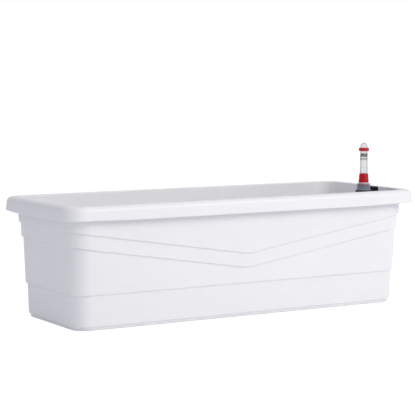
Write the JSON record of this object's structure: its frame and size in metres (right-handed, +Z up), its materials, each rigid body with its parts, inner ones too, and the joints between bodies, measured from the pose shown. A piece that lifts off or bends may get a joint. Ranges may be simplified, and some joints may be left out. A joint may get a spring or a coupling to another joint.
{
  "type": "self watering window box planter",
  "caption": "Long white window box planter with a stepped chevron panel, a lift-out false floor over a water reservoir, soil baskets, and a corner filler tower with a float gauge.",
  "frame": {"origin": "on the standing plane, under the middle of the trough", "axes": "+Z up, +X along the long side towards the float gauge, -Y is the front"},
  "size_m": [0.6, 0.2306, 0.2461],
  "materials": {
    "trough_white": "satin injection moulded polypropylene, white",
    "floor_grey": "fine spark-eroded texture, near-white grey",
    "tower_black": "satin moulded, black",
    "socket_grey": "smoke grey translucent styrene",
    "gauge_red": "glossy signal red",
    "gauge_clear": "clear polished styrene",
    "rod_red": "signal red plastic",
    "float_white": "natural white moulded, sealed",
    "seal_rubber": "soft black ring",
    "pin_steel": "blackened drawn wire"
  },
  "bodies": {
    "trough": {"trough": "trough_white"},
    "drain_plug": {"drain_plug": "trough_white", "drain_plug_seal": "seal_rubber"},
    "floor_left": {"false_floor_left": "floor_grey", "soil_basket_1": "floor_grey", "soil_basket_2": "floor_grey"},
    "floor_right": {"false_floor_right": "floor_grey", "soil_basket_3": "floor_grey", "soil_basket_4": "floor_grey", "filler_tower": "tower_black", "tower_cap": "tower_black", "lid_hinge_pin": "pin_steel"},
    "filler_lid": {"filler_lid": "tower_black"},
    "gauge": {"gauge_socket": "socket_grey", "gauge_cone": "gauge_red", "gauge_tube": "gauge_clear", "gauge_ring": "gauge_red"},
    "float": {"indicator_rod": "rod_red", "indicator_bead": "gauge_red", "float_body": "float_white", "float_cap": "float_white"}
  },
  "joints": [
    {"name": "floor_left_lift", "type": "slide", "parent": "trough", "child": "floor_left", "axis": [0, 0, 1], "range_m": [0, 0.18]},
    {"name": "floor_right_lift", "type": "slide", "parent": "trough", "child": "floor_right", "axis": [0, 0, 1], "range_m": [0, 0.18]},
    {"name": "filler_lid_hinge", "type": "hinge", "parent": "floor_right", "child": "filler_lid", "pos_m": [0.2619, -0.048, 0.1748], "axis": [0, 1, 0], "range_deg": [0, 90]},
    {"name": "gauge_lift", "type": "slide", "parent": "floor_right", "child": "gauge", "axis": [0, 0, 1], "range_m": [0, 0.175]},
    {"name": "float_rise", "type": "slide", "parent": "gauge", "child": "float", "axis": [0, 0, 1], "range_m": [0, 0.032]},
    {"name": "drain_pull", "type": "slide", "parent": "trough", "child": "drain_plug", "axis": [0, 0, -1], "range_m": [0, 0.03]}
  ]
}
